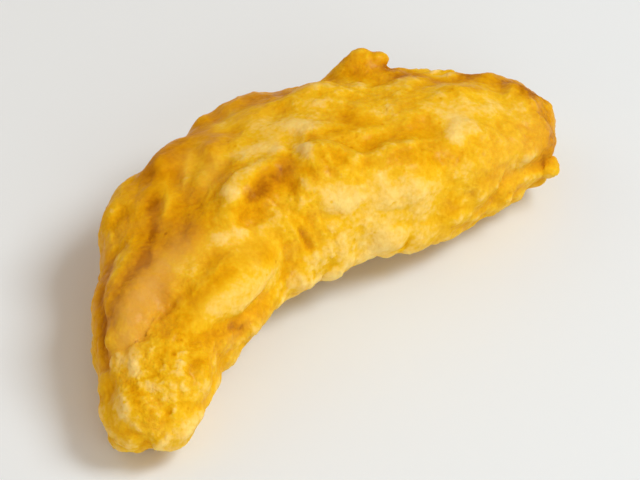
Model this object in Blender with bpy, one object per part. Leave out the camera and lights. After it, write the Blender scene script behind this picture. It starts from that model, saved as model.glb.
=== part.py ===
"""A battered, deep-fried piece of white fish: one bent strip of fillet inside a puffed, wrinkled crust.

The piece is a single closed solid. It lies on its underside, +Z up. Its near end comes towards -Y and its
far end runs out towards +X, so the strip bends round an elbow at the back left. Lengths in the tables are
millimetres.
"""

import math
from typing import NamedTuple

import bmesh
import bpy
import numpy as np
from mathutils import Matrix, Vector, noise

MM = 0.001

# Driving dimensions.
NODE_NAME = "fillet"
END_BLUNTNESS = 3.0  # superellipse power of the strip's ends, 2 is an egg and 4 is nearly square
SIDE_FULLNESS = 2.8  # superellipse power of the strip's cross-section
MEAN_RADIUS = 15.0 * MM  # of the strip's cross-section, to measure distances round it
PRESSED_FLAT = 0.9 * MM  # how much the weight of the piece flattens where it rests

# How finely the shapes are made.
BODY_DETAIL = 7  # icosphere subdivisions of the strip before it is bent
PUFF_DETAIL = 4
VOXEL = 0.85 * MM
SOFTEN_PASSES = 5
SOFTEN_FACTOR = 0.5
CRUST_TRIANGLES = 9300
SHARE_STEP = 0.01  # share of the length between the two points that give the surface's direction
ANGLE_STEP = 4  # degrees round the strip between them
BLOCK = 4096  # points handled at a time

CRUST_COLOUR = (0.78, 0.40, 0.03)  # golden batter, linear
CRUST_ROUGHNESS = 0.5


class Station(NamedTuple):
    """A cross-section of the strip: its middle, half its width, its height above and below, and its lean.

    The lean is in degrees and tips the top outwards, away from the bend.
    """

    x: float
    y: float
    z: float
    half_width: float
    rise: float
    drop: float
    lean: float


# From the near tip, round the elbow, to the far end.
STATIONS = (
    Station(-36.0, -65.3, 9.0, 10.4, 7.0, 8.5, 0),
    Station(-35.3, -50.5, 10.8, 12.2, 9.0, 9.5, 2),
    Station(-30.8, -33.0, 13.5, 15.4, 11.0, 10.5, 8),
    Station(-22.0, -16.0, 15.5, 18.4, 12.5, 11.5, 14),
    Station(-8.0, -5.0, 16.0, 20.2, 13.0, 12.0, 16),
    Station(9.7, 0.0, 15.0, 19.3, 13.0, 12.0, 11),
    Station(27.2, 6.3, 12.8, 16.8, 12.5, 11.8, 6),
    Station(41.9, 12.8, 10.2, 13.5, 11.0, 10.8, 0),
)


class Puff(NamedTuple):
    """A swelling of batter: where it sits, its three radii, and how far it is turned and sunk."""

    along: float  # share of the strip's length, 0 at the near tip
    around: float  # degrees from the top, positive to the inner side of the bend
    length: float
    width: float
    height: float
    turn: float  # degrees between its length and the strip's
    sunk: float  # share of the height that lies below the strip's surface


PUFFS = (
    Puff(0.25, 50, 11.5, 5.6, 4.2, -28, 0.68),  # smooth swelling inside the bend
    Puff(0.20, -16, 12.0, 5.4, 3.6, -8, 0.72),  # long pale swelling beside it
    Puff(0.08, 10, 8.0, 7.5, 3.8, 0, 0.76),  # rough knob of the near tip
    Puff(0.39, 28, 8.5, 3.4, 2.8, 0, 0.70),
    Puff(0.42, -24, 5.5, 4.2, 3.0, 20, 0.72),
    Puff(0.47, -2, 5.5, 6.5, 3.2, -20, 0.76),
    Puff(0.58, 60, 9.0, 7.0, 4.0, -8, 0.72),  # full front of the far arm
    Puff(0.70, 62, 9.0, 6.5, 4.0, 10, 0.74),
    Puff(0.64, 96, 8.0, 5.5, 3.6, -6, 0.74),
    Puff(0.82, 60, 8.0, 6.5, 3.8, -12, 0.74),
    Puff(0.62, -8, 8.0, 8.0, 3.6, -30, 0.78),
    Puff(0.85, 4, 9.5, 8.5, 3.8, 0, 0.76),  # smooth top of the far arm
    Puff(0.94, 20, 5.0, 8.0, 3.8, 0, 0.76),
    Puff(0.55, -62, 10.0, 7.0, 4.0, 14, 0.76),  # back of the bend
    Puff(0.36, -74, 11.0, 7.0, 4.0, -10, 0.76),
    Puff(0.76, -66, 9.0, 6.5, 3.8, 0, 0.76),
    Puff(0.28, -100, 11.0, 6.0, 4.2, 12, 0.74),  # the side away from the bend, down to the floor
    Puff(0.48, -104, 12.0, 6.5, 4.6, -12, 0.74),
    Puff(0.66, -98, 9.5, 6.5, 4.4, 16, 0.74),
    Puff(0.86, -92, 8.5, 6.0, 4.0, -14, 0.76),
)
TAGS = (
    Puff(0.735, -46, 3.4, 3.0, 5.0, 0, 0.42),  # a peak that set as it was lifted from the oil
    Puff(0.705, -52, 4.2, 3.2, 3.6, 0, 0.50),
    Puff(0.955, 74, 2.6, 2.2, 2.6, 0, 0.45),
    Puff(0.045, -80, 2.4, 2.2, 2.4, 0, 0.50),
)

# Beads of batter that ran down and set along the inner lower edge.
BEAD_SPAN = (0.40, 0.95)  # share of the length
BEAD_ROWS = ((106, 2.9), (128, 2.4))  # angle round the strip and radius of each row of beads
BEADS_PER_ROW = 13
BEAD_SIZES = (0.75, 1.25)  # least and most, as a share of the row's radius
BEAD_LENGTH = 1.3  # times the radius
BEAD_SHIFT = 0.012  # furthest out of place, as a share of the length
BEAD_SWAY = 5  # furthest out of place, in degrees round the strip
BEAD_TURN = 30
BEAD_SUNK = 0.66
BEAD_SEED = 3

# Smaller blisters scattered over the whole crust.
BLISTERS = 170
BLISTER_RADII = (2.6, 5.4)
BLISTER_LENGTHS = (1.0, 1.7)  # times the radius
BLISTER_HEIGHTS = (0.4, 0.55)  # times the radius
BLISTER_SUNK = (0.78, 0.88)
BLISTER_SWAY = 20  # degrees round the strip
BLISTER_TURN = 60
BLISTER_SEED = 5


class Furrow(NamedTuple):
    """A shallow valley between swellings, through places on the surface given as (along, around)."""

    route: tuple[tuple[float, float], ...]
    width: float
    depth: float


FURROWS = (
    Furrow(((0.13, -6), (0.21, 20), (0.29, 34), (0.38, 64)), 2.6, 1.2),
    Furrow(((0.55, 18), (0.52, 44), (0.42, 52), (0.36, 44)), 3.2, 1.5),
    Furrow(((0.58, 32), (0.66, 36), (0.78, 33)), 3.6, 0.9),
    Furrow(((0.13, 30), (0.20, 70), (0.27, 92)), 2.2, 0.9),
    Furrow(((0.10, -48), (0.22, -42), (0.34, -40), (0.46, -48)), 3.4, 1.0),
    Furrow(((0.36, 8), (0.44, 12), (0.50, -8), (0.52, -40)), 2.2, 0.8),
    Furrow(((0.30, 10), (0.38, -2), (0.40, -20)), 2.4, 0.8),
    Furrow(((0.22, -84), (0.38, -92), (0.54, -80), (0.70, -84), (0.86, -72)), 3.2, 1.3),
    Furrow(((0.62, -30), (0.76, -26), (0.90, -40)), 3.4, 0.9),
)

# Scale and height of the billowing all over the crust.
WRINKLES = ((15.0, 1.5), (8.0, 1.1), (4.2, 0.8))


def clear_scene():
    """Removes whatever the file opened with."""
    for obj in list(bpy.data.objects):
        bpy.data.objects.remove(obj)


def spline(values, share):
    """A smooth curve through values, which are evenly spaced, at a share of its length from 0 to 1."""
    values = np.asarray(values, float)
    place = np.clip(share, 0.0, 1.0) * (len(values) - 1)
    left = min(int(place), len(values) - 2)
    t = place - left
    before = values[left - 1] if left > 0 else 2 * values[left] - values[left + 1]
    after = values[left + 2] if left + 2 < len(values) else 2 * values[left + 1] - values[left]
    a, b = values[left], values[left + 1]
    squared = 2 * before - 5 * a + 4 * b - after
    cubed = 3 * (a - b) + after - before
    return 0.5 * (2 * a + (b - before) * t + squared * t**2 + cubed * t**3)


class Strip:
    """The bent strip that everything sits on: its middle line, its cross-sections and its frames."""

    SAMPLES = 241

    def __init__(self, stations):
        self.table = np.array(stations, float)
        self.table[:, :6] *= MM
        shares = np.linspace(0, 1, self.SAMPLES)
        rows = np.array([spline(self.table, share) for share in shares])
        line = rows[:, :3]
        steps = np.r_[0, np.cumsum(np.linalg.norm(np.diff(line, axis=0), axis=1))]
        self.length = steps[-1]
        # Rows again at even distances, so that a share means a share of the true length.
        even = shares * self.length
        self.rows = np.stack([np.interp(even, steps, column) for column in rows.T], axis=1)
        tangents = np.gradient(self.rows[:, :3], axis=0)
        tangents /= np.linalg.norm(tangents, axis=1)[:, None]
        self.tangents = tangents

    def at(self, share):
        """(middle, tangent, side, up, half width, rise, drop) at a share of the length.

        Side points into the bend.
        """
        place = min(max(share, 0.0), 1.0) * (self.SAMPLES - 1)
        index = int(round(place))
        row = self.rows[index]
        tangent = Vector(self.tangents[index])
        flat_side = tangent.cross(Vector((0, 0, 1))).normalized()
        side = Matrix.Rotation(-math.radians(row[6]), 3, tangent) @ flat_side
        up = side.cross(tangent).normalized()
        overshoot = share - min(max(share, 0.0), 1.0)
        middle = Vector(row[:3]) + tangent * overshoot * self.length
        return middle, tangent, side, up, row[3], row[4], row[5]

    def skin(self, share, around):
        """The plain strip's surface at a share of the length and an angle from the top, in degrees."""
        middle, _, side, up, half_width, rise, drop = self.at(share)
        across, over = rounded(math.radians(90 - around), SIDE_FULLNESS)
        reach = (1 - abs(2 * share - 1) ** END_BLUNTNESS) ** (1 / END_BLUNTNESS)
        return middle + reach * (side * half_width * across + up * (rise if over > 0 else drop) * over)

    def frame_on_skin(self, share, around):
        """(point, forward, out) on the surface: forward runs along the strip and out is the normal."""
        point = self.skin(share, around)
        ahead, behind = min(share + SHARE_STEP, 1), max(share - SHARE_STEP, 0)
        forward = self.skin(ahead, around) - self.skin(behind, around)
        round_it = self.skin(share, around + ANGLE_STEP) - self.skin(share, around - ANGLE_STEP)
        out = round_it.cross(forward).normalized()
        return point, forward.normalized(), out


def rounded(angle, power):
    """The point of a superellipse of half axes 1 at an angle."""
    c, s = math.cos(angle), math.sin(angle)
    return math.copysign(abs(c) ** (2 / power), c), math.copysign(abs(s) ** (2 / power), s)


def body(strip):
    """The plain strip: a fine ball drawn out along the middle line and rounded off at both ends."""
    mesh = bmesh.new()
    bmesh.ops.create_icosphere(mesh, subdivisions=BODY_DETAIL, radius=1)
    for vert in mesh.verts:
        ball = vert.co.copy()
        from_end = math.atan2(math.hypot(ball.y, ball.z), -ball.x)
        reach = rounded(from_end, END_BLUNTNESS)[0]
        vert.co = strip.skin(0.5 - 0.5 * reach, math.degrees(math.atan2(ball.y, ball.z)))
    return mesh


def add_puff(mesh, strip, puff):
    """Sets one ellipsoid of batter into the strip's skin."""
    seat, forward, out = strip.frame_on_skin(puff.along, puff.around)
    forward = Matrix.Rotation(math.radians(puff.turn), 3, out) @ forward
    across = out.cross(forward)
    centre = seat + out * (puff.height * MM * (1 - 2 * puff.sunk))
    axes = Matrix((forward * puff.length, across * puff.width, out * puff.height)).transposed() * MM
    place = Matrix.Translation(centre) @ axes.to_4x4()
    bmesh.ops.create_icosphere(mesh, subdivisions=PUFF_DETAIL, radius=1, matrix=place)


def edge_beads():
    """Rows of beads along the inner lower edge, each a little out of line."""
    chance = np.random.default_rng(BEAD_SEED)
    for around, radius in BEAD_ROWS:
        for along in np.linspace(*BEAD_SPAN, BEADS_PER_ROW):
            size = radius * chance.uniform(*BEAD_SIZES)
            yield Puff(
                along=float(along) + chance.uniform(-BEAD_SHIFT, BEAD_SHIFT),
                around=around + chance.uniform(-BEAD_SWAY, BEAD_SWAY),
                length=size * BEAD_LENGTH,
                width=size,
                height=size,
                turn=chance.uniform(-BEAD_TURN, BEAD_TURN),
                sunk=BEAD_SUNK,
            )


def blisters():
    """Smaller blisters scattered over the whole crust by the golden angle, each a little different."""
    chance = np.random.default_rng(BLISTER_SEED)
    golden_angle = 180 * (3 - math.sqrt(5))
    for index in range(BLISTERS):
        size = chance.uniform(*BLISTER_RADII)
        yield Puff(
            along=(index + 0.5) / BLISTERS,
            around=(index * golden_angle + chance.uniform(-BLISTER_SWAY, BLISTER_SWAY)) % 360 - 180,
            length=size * chance.uniform(*BLISTER_LENGTHS),
            width=size,
            height=size * chance.uniform(*BLISTER_HEIGHTS),
            turn=chance.uniform(-BLISTER_TURN, BLISTER_TURN),
            sunk=chance.uniform(*BLISTER_SUNK),
        )


def new_object(name, mesh):
    """An object in the scene made from a bmesh, which is freed."""
    data = bpy.data.meshes.new(name)
    mesh.to_mesh(data)
    mesh.free()
    obj = bpy.data.objects.new(name, data)
    bpy.context.scene.collection.objects.link(obj)
    return obj


def taken_out(obj):
    """The object's mesh with its modifiers worked in, as a bmesh. The object itself is removed."""
    bpy.context.view_layer.update()
    worked = obj.evaluated_get(bpy.context.evaluated_depsgraph_get())
    mesh = bmesh.new()
    mesh.from_mesh(worked.to_mesh())
    worked.to_mesh_clear()
    bpy.data.objects.remove(obj)
    return mesh


def fused(mesh, name):
    """All the overlapping shapes as one closed skin, its creases softened as wet batter softens them."""
    obj = new_object(name, mesh)
    remesh = obj.modifiers.new("one_skin", "REMESH")
    remesh.mode = "VOXEL"
    remesh.voxel_size = VOXEL
    soften = obj.modifiers.new("soft_creases", "SMOOTH")
    soften.factor = SOFTEN_FACTOR
    soften.iterations = SOFTEN_PASSES
    return taken_out(obj)


def surface_places(strip, points):
    """(along, around) of each point: its share of the strip's length and its angle from the top."""
    line = strip.rows[:, :3]
    index = np.empty(len(points), int)
    for first in range(0, len(points), BLOCK):
        block = points[first : first + BLOCK]
        index[first : first + BLOCK] = np.linalg.norm(block[:, None] - line[None], axis=2).argmin(axis=1)
    frames = [strip.at(i / (strip.SAMPLES - 1)) for i in range(strip.SAMPLES)]
    sides = np.array([frame[2] for frame in frames])[index]
    ups = np.array([frame[3] for frame in frames])[index]
    out = points - line[index]
    widths = strip.rows[index, 3]
    heights = strip.rows[index, 4]
    across = (out * sides).sum(axis=1) / widths
    over = (out * ups).sum(axis=1) / heights
    return index / (strip.SAMPLES - 1), np.degrees(np.arctan2(across, over))


def furrow_depth(furrow, strip, along, around):
    """How far a furrow sinks each place, in metres, as a soft-sided valley along its route."""
    per_degree = math.radians(MEAN_RADIUS)  # metres of surface for each degree round the strip
    points = np.stack([along * strip.length, around * per_degree], axis=1)
    route = np.array(furrow.route) * [strip.length, per_degree]
    away = np.full(len(points), np.inf)
    for start, end in zip(route, route[1:]):
        span = end - start
        share = np.clip((points - start) @ span / (span @ span), 0, 1)
        away = np.minimum(away, np.linalg.norm(points - start - share[:, None] * span, axis=1))
    return furrow.depth * MM * np.exp(-((away / (0.5 * furrow.width * MM)) ** 2))


def sculpt(mesh, strip):
    """Moves the skin in and out: furrows between the swellings, then soft wrinkles all over."""
    mesh.normal_update()
    points = np.array([vert.co for vert in mesh.verts])
    along, around = surface_places(strip, points)
    lift = -sum(furrow_depth(furrow, strip, along, around) for furrow in FURROWS)
    for vert, move in zip(mesh.verts, lift):
        place = vert.co / MM
        wrinkle = sum(size * abs(noise.noise(place / scale)) for scale, size in WRINKLES)
        vert.co += vert.normal * (move + wrinkle * MM)


def thinned(mesh):
    """The skin with fewer triangles, kept closest where it bends most."""
    triangles = sum(len(face.verts) - 2 for face in mesh.faces)
    obj = new_object("sculpted", mesh)
    fewer = obj.modifiers.new("fewer_triangles", "DECIMATE")
    fewer.ratio = CRUST_TRIANGLES / triangles
    fewer.use_collapse_triangulate = True
    return taken_out(obj)


def rest_on_floor(mesh):
    """Cuts the underside flat where it rests and sets the middle of the base at the origin."""
    lowest = min(vert.co.z for vert in mesh.verts)
    cut = bmesh.ops.bisect_plane(
        mesh,
        geom=mesh.verts[:] + mesh.edges[:] + mesh.faces[:],
        plane_co=(0, 0, lowest + PRESSED_FLAT),
        plane_no=(0, 0, -1),
        clear_outer=True,
        dist=0,
    )
    rims = [item for item in cut["geom_cut"] if isinstance(item, bmesh.types.BMEdge)]
    bmesh.ops.holes_fill(mesh, edges=rims, sides=0)
    bmesh.ops.triangulate(mesh, faces=[face for face in mesh.faces if len(face.verts) > 3])
    corners = np.array([vert.co for vert in mesh.verts])
    low, high = corners.min(axis=0), corners.max(axis=0)
    shift = Vector((-(low[0] + high[0]) / 2, -(low[1] + high[1]) / 2, -low[2]))
    bmesh.ops.translate(mesh, verts=mesh.verts, vec=shift)


def fried_batter():
    """The crust's material."""
    material = bpy.data.materials.new("fried_batter")
    material.use_nodes = True
    surface = material.node_tree.nodes["Principled BSDF"]
    surface.inputs["Base Color"].default_value = (*CRUST_COLOUR, 1)
    surface.inputs["Roughness"].default_value = CRUST_ROUGHNESS
    surface.inputs["Metallic"].default_value = 0
    return material


def main():
    """Builds the fillet: body, puffs and beads fused into one skin, sculpted, thinned and set down."""
    clear_scene()
    strip = Strip(STATIONS)
    mesh = body(strip)
    for puff in (*PUFFS, *TAGS, *edge_beads(), *blisters()):
        add_puff(mesh, strip, puff)
    mesh = fused(mesh, "fused")
    sculpt(mesh, strip)
    mesh = thinned(mesh)
    rest_on_floor(mesh)
    fillet = new_object(NODE_NAME, mesh)
    fillet.data.materials.append(fried_batter())
    fillet.data.shade_smooth()


if __name__ == "__main__":
    main()
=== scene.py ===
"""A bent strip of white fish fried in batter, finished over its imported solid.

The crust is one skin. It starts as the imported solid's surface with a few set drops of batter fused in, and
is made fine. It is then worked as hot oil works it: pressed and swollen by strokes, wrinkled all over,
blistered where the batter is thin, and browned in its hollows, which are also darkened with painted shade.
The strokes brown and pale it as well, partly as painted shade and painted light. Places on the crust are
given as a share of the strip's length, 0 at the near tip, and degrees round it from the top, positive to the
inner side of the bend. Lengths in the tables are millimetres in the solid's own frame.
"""

import logging
import math
import random
from dataclasses import dataclass, field
from enum import Enum
from typing import Any, Iterable, Sequence

import bmesh
import bpy
import numpy as np
from mathutils import Matrix, Vector, noise

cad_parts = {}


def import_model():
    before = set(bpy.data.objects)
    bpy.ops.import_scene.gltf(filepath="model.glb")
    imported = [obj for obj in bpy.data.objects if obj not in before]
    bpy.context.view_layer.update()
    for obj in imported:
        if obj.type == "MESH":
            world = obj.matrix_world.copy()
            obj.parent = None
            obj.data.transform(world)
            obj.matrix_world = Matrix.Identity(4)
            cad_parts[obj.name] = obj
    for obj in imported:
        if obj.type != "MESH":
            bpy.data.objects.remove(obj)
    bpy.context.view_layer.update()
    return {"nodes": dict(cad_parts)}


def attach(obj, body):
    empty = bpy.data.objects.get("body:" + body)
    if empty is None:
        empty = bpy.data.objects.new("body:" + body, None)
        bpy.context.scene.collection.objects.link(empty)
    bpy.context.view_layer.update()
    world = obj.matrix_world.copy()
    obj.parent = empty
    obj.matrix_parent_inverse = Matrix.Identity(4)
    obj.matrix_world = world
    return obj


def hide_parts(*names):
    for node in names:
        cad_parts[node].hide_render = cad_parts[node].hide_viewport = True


MM = 0.001
NODE = "fillet"
LOG = logging.getLogger("fried_fish")

# Which of a Mix node's sockets belong to its colour form: it has a set for each form, under the same names.
MIX_SHARE, MIX_FROM, MIX_TO, MIX_RESULT = 0, 6, 7, 2


class Tone(Enum):
    """The batter's colours in linear light: a dull tan, and the rest from barely set to nearly burnt."""

    TAN = (0.74, 0.385, 0.075)
    MILK = (0.96, 0.67, 0.20)
    CREAM = (0.93, 0.61, 0.14)
    BUTTER = (0.865, 0.494, 0.014)
    GOLD = (0.785, 0.376, 0.003)
    AMBER = (0.645, 0.263, 0.002)
    BROWN = (0.42, 0.138, 0.0015)


# --- shading --------------------------------------------------------------------------------------


class Value:
    """A number that varies over a surface: a shader socket that takes part in Python arithmetic."""

    def __init__(self, graph: "Graph", socket: bpy.types.NodeSocket) -> None:
        """Wraps an output socket of a graph."""
        self.graph = graph
        self.socket = socket

    def _math(self, operation: str, *operands: "Value | float", clamp: bool = False) -> "Value":
        """Adds a Math node.

        Args:
            operation: the node's operation, such as ADD.
            *operands: what goes into its sockets, in order.
            clamp: keeps the result between 0 and 1.

        Returns:
            The node's result.
        """
        settings = {"operation": operation, "use_clamp": clamp}
        node = self.graph.node("ShaderNodeMath", settings, dict(enumerate(operands)))
        return Value(self.graph, node.outputs[0])

    def __add__(self, other: "Value | float") -> "Value":
        """self + other."""
        return self._math("ADD", self, other)

    def __radd__(self, other: float) -> "Value":
        """other + self."""
        return self._math("ADD", other, self)

    def __sub__(self, other: "Value | float") -> "Value":
        """self - other."""
        return self._math("SUBTRACT", self, other)

    def __rsub__(self, other: float) -> "Value":
        """other - self."""
        return self._math("SUBTRACT", other, self)

    def __mul__(self, other: "Value | float") -> "Value":
        """self * other."""
        return self._math("MULTIPLY", self, other)

    def __rmul__(self, other: float) -> "Value":
        """other * self."""
        return self._math("MULTIPLY", other, self)

    def clamped(self) -> "Value":
        """The value kept between 0 and 1."""
        return self._math("ADD", self, 0.0, clamp=True)

    def ramped(self, low: float, high: float) -> "Value":
        """0 below low, 1 above high and smooth between them.

        Args:
            low: the value that gives 0.
            high: the value that gives 1.

        Returns:
            The eased value.
        """
        settings = {"interpolation_type": "SMOOTHSTEP"}
        sockets = {"Value": self, "From Min": low, "From Max": high}
        return Value(self.graph, self.graph.node("ShaderNodeMapRange", settings, sockets).outputs[0])


class Graph:
    """The nodes of one material, around its Principled BSDF."""

    def __init__(self, name: str) -> None:
        """Starts a material.

        Args:
            name: the material's name.
        """
        self.material = bpy.data.materials.new(name)
        self.material.use_nodes = True
        self.tree = self.material.node_tree
        self.shader = self.tree.nodes["Principled BSDF"]

    def node(self, kind: str, settings: dict[str, Any], sockets: dict[int | str, Any]) -> bpy.types.Node:
        """Adds one node of any type.

        Args:
            kind: the node's type.
            settings: its properties, set first. The stops of a colour ramp are (place, colour) pairs.
            sockets: values or links for its inputs, by index or name.

        Returns:
            The node.
        """
        node = self.tree.nodes.new(kind)
        for name, value in settings.items():
            if name == "stops":
                self._set_stops(node.color_ramp, value)
            else:
                setattr(node, name, value)
        for name, value in sockets.items():
            self.feed(node.inputs[name], value)
        return node

    def feed(self, socket: bpy.types.NodeSocket, value: Any) -> None:
        """Links a value or an output to an input socket, or sets a plain number or colour on it.

        Args:
            socket: the input.
            value: a Value, an output socket, a number or a colour.
        """
        if isinstance(value, Value):
            value = value.socket
        if isinstance(value, bpy.types.NodeSocket):
            self.tree.links.new(value, socket)
        else:
            socket.default_value = value

    @staticmethod
    def _set_stops(ramp: bpy.types.ColorRamp, stops: Sequence[tuple[float, Sequence[float]]]) -> None:
        """Gives a colour ramp its stops.

        Args:
            ramp: the ramp.
            stops: (place, colour) pairs in order.
        """
        while len(ramp.elements) < len(stops):
            ramp.elements.new(1.0)
        for element, (place, colour) in zip(ramp.elements, stops):
            element.position = place
            element.color = (*colour, 1.0)

    def attribute(self, name: str) -> Value:
        """A number that the mesh carries at its points."""
        node = self.node("ShaderNodeAttribute", {"attribute_name": name}, {})
        return Value(self, node.outputs["Fac"])

    def grain(
        self, size: float, detail: float = 2.0, distortion: float = 0.0, roughness: float = 0.5
    ) -> Value:
        """Soft noise fixed to the piece.

        Args:
            size: millimetres across one blotch.
            detail: octaves.
            distortion: how much it swirls.
            roughness: share of each finer octave.

        Returns:
            The noise, about 0.5 on average.
        """
        place = self.node("ShaderNodeTexCoord", {}, {}).outputs["Object"]
        sockets = {
            "Vector": place,
            "Scale": 1 / (size * MM),
            "Detail": detail,
            "Roughness": roughness,
            "Distortion": distortion,
        }
        return Value(self, self.node("ShaderNodeTexNoise", {}, sockets).outputs[0])

    def cells(self, size: float, smoothness: float) -> Value:
        """Distance to the nearest of many scattered points.

        Args:
            size: millimetres between points.
            smoothness: how much neighbouring cells melt together.

        Returns:
            The distance, 0 at each point.
        """
        place = self.node("ShaderNodeTexCoord", {}, {}).outputs["Object"]
        sockets = {"Vector": place, "Scale": 1 / (size * MM), "Smoothness": smoothness}
        node = self.node("ShaderNodeTexVoronoi", {"feature": "SMOOTH_F1"}, sockets)
        return Value(self, node.outputs["Distance"])

    def colours(self, value: Value, stops: Sequence[tuple[float, Tone]]) -> bpy.types.NodeSocket:
        """A colour for each value from 0 to 1, eased between tones at their places."""
        shades = [(place, tone.value) for place, tone in stops]
        return self.node("ShaderNodeValToRGB", {"stops": shades}, {0: value}).outputs[0]

    def mixed(self, colour: bpy.types.NodeSocket, other: Tone, share: Value) -> bpy.types.NodeSocket:
        """A colour turned towards a tone, by a share from 0 to 1."""
        sockets = {MIX_SHARE: share, MIX_FROM: colour, MIX_TO: (*other.value, 1.0)}
        return self.node("ShaderNodeMix", {"data_type": "RGBA"}, sockets).outputs[MIX_RESULT]

    def bump(self, height: Value, distance: float) -> bpy.types.NodeSocket:
        """A normal bent by a relief whose 0 and 1 lie so many millimetres apart."""
        sockets = {"Height": height, "Distance": distance * MM, "Strength": 1.0}
        return self.node("ShaderNodeBump", {}, sockets).outputs[0]


@dataclass(frozen=True)
class Mottling:
    """One scale of uneven cooking: how large its blotches are and how much they brown or spare the crust."""

    size: float  # millimetres across one blotch
    strength: float  # how much it browns or spares
    detail: float = 2.0
    distortion: float = 0.0

    def over(self, graph: Graph) -> Value:
        """The blotches, 0 on average and not yet weighed by their strength."""
        return graph.grain(self.size, self.detail, self.distortion) - 0.5


@dataclass(frozen=True)
class FriedBatter:
    """The crust's finish: soft, a little see-through, golden, browned and with painted shade in its hollows,
    with a film of oil.
    """

    stops: tuple[tuple[float, Tone], ...] = (
        (0.0, Tone.MILK),
        (0.12, Tone.CREAM),
        (0.31, Tone.BUTTER),
        (0.51, Tone.GOLD),
        (0.77, Tone.AMBER),
        (1.0, Tone.BROWN),
    )
    heat: float = 0.77  # how fast a patch runs through the tones
    start: float = 0.516  # how cooked an even, level patch is
    hollow_brown_and_shade: float = 0.34  # how much a full hollow browns and darkens with painted shade
    crease_brown_and_shade: float = 0.16  # how much a full crease browns and darkens with painted shade
    drift: Mottling = Mottling(9.0, 0.30, distortion=0.6)
    mottle: Mottling = Mottling(2.6, 0.32, distortion=0.8)
    fleck: Mottling = Mottling(0.9, 0.38, detail=1.0)
    speck: float = 0.30  # how much a dark speck browns
    speck_spacing: float = 2.6  # millimetres between places for a speck
    speck_edge: tuple[float, float] = (0.06, 0.20)  # as shares of the spacing
    speck_softness: float = 0.1
    speck_zone: float = 7.0  # millimetres across a zone that has specks
    speck_share: tuple[float, float] = (0.48, 0.62)  # of the zones' noise, from none to all of the specks
    dull_level: float = 0.8  # how far a dull stroke turns the crust towards tan
    dull_mottle: float = 1.2
    roughness: float = 0.48
    rough_mottle: float = 0.25
    oil_gloss: float = 0.1  # roughness that a film of oil takes away
    shine: float = 0.03
    shine_tint: tuple[float, float, float] = (1.0, 0.80, 0.42)
    oil: float = 0.26
    oil_zone: float = 5.0  # millimetres across a patch of oil
    oil_share: tuple[float, float] = (0.42, 0.66)  # of the patches' noise, from dry to oily
    oil_roughness: float = 0.30
    crispness: float = 0.50  # millimetres of the finest relief where the batter is roughest
    grit: tuple[float, float] = (0.55, 0.45)  # millimetres across and share of the relief, as the next two
    pores: tuple[float, float] = (1.3, 0.35)
    seeds: tuple[float, float] = (0.7, 0.20)
    grit_detail: float = 3.0
    grit_roughness: float = 0.6
    pore_softness: float = 0.25
    depth: float = 1.0  # millimetres that light travels inside
    depth_by_colour: tuple[float, float, float] = (1.0, 0.45, 0.12)
    glow: float = 0.20  # share of the light that goes inside

    def material(self) -> bpy.types.Material:
        """Builds the finish.

        Returns:
            The material.
        """
        graph = Graph("fried_batter")
        shader = graph.shader
        mottle = self.mottle.over(graph)
        fried_and_shaded = graph.colours((self._cooked_and_shaded(graph, mottle) * self.heat).clamped(), self.stops)
        dulled = (graph.attribute("dull") * (self.dull_level + mottle * self.dull_mottle)).clamped()
        oily = graph.grain(self.oil_zone).ramped(*self.oil_share)
        roughness = self.roughness + mottle * self.rough_mottle - oily * self.oil_gloss
        graph.feed(shader.inputs["Base Color"], graph.mixed(fried_and_shaded, Tone.TAN, dulled))
        graph.feed(shader.inputs["Roughness"], roughness)
        graph.feed(shader.inputs["Coat Weight"], oily * self.oil)
        graph.feed(shader.inputs["Normal"], graph.bump(self._relief(graph), self.crispness))
        shader.inputs["Coat Roughness"].default_value = self.oil_roughness
        shader.inputs["Subsurface Weight"].default_value = self.glow
        shader.inputs["Subsurface Radius"].default_value = self.depth_by_colour
        shader.inputs["Subsurface Scale"].default_value = self.depth * MM
        shader.inputs["Specular IOR Level"].default_value = self.shine
        shader.inputs["Specular Tint"].default_value = (*self.shine_tint, 1.0)
        return graph.material

    def _cooked_and_shaded(self, graph: Graph, mottle: Value) -> Value:
        """How cooked each place is, painted shade included: by its depth, its strokes, uneven heat and dark
        specks.

        Args:
            graph: the finish's nodes.
            mottle: the middle scale of uneven cooking.

        Returns:
            The cooking with its painted shade, from about 0 for barely set to over 1 for browned.
        """
        # Painted shade: hollows and creases take darker tones, along with their browning.
        cook_and_shade = self.start + graph.attribute("hollow") * self.hollow_brown_and_shade
        cook_and_shade = cook_and_shade + graph.attribute("crease") * self.crease_brown_and_shade + graph.attribute("brown_and_shade")
        cook_and_shade = cook_and_shade + self.drift.over(graph) * self.drift.strength
        cook_and_shade = cook_and_shade + mottle * self.mottle.strength
        cook_and_shade = cook_and_shade + self.fleck.over(graph) * self.fleck.strength
        places = 1 - graph.cells(self.speck_spacing, self.speck_softness).ramped(*self.speck_edge)
        specks = places * graph.grain(self.speck_zone).ramped(*self.speck_share)
        return cook_and_shade + specks * self.speck

    def _relief(self, graph: Graph) -> Value:
        """The finest relief: grit, pores and seeds, deepest where the batter is roughest.

        Args:
            graph: the finish's nodes.

        Returns:
            The relief, from 0 to about 1.
        """
        size, share = self.grit
        relief = graph.grain(size, self.grit_detail, roughness=self.grit_roughness) * share
        for size, share in (self.pores, self.seeds):
            relief = relief + (1 - graph.cells(size, self.pore_softness)) * share
        return relief * graph.attribute("grain")


@dataclass(frozen=True)
class PaleBoard:
    """The finish of the floor: matt and nearly white."""

    colour: tuple[float, float, float] = (0.83, 0.876, 0.96)
    roughness: float = 0.6

    def material(self) -> bpy.types.Material:
        """Builds the finish.

        Returns:
            The material.
        """
        graph = Graph("pale_board")
        graph.shader.inputs["Base Color"].default_value = (*self.colour, 1.0)
        graph.shader.inputs["Roughness"].default_value = self.roughness
        return graph.material


# --- the strip's own coordinates ------------------------------------------------------------------


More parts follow.
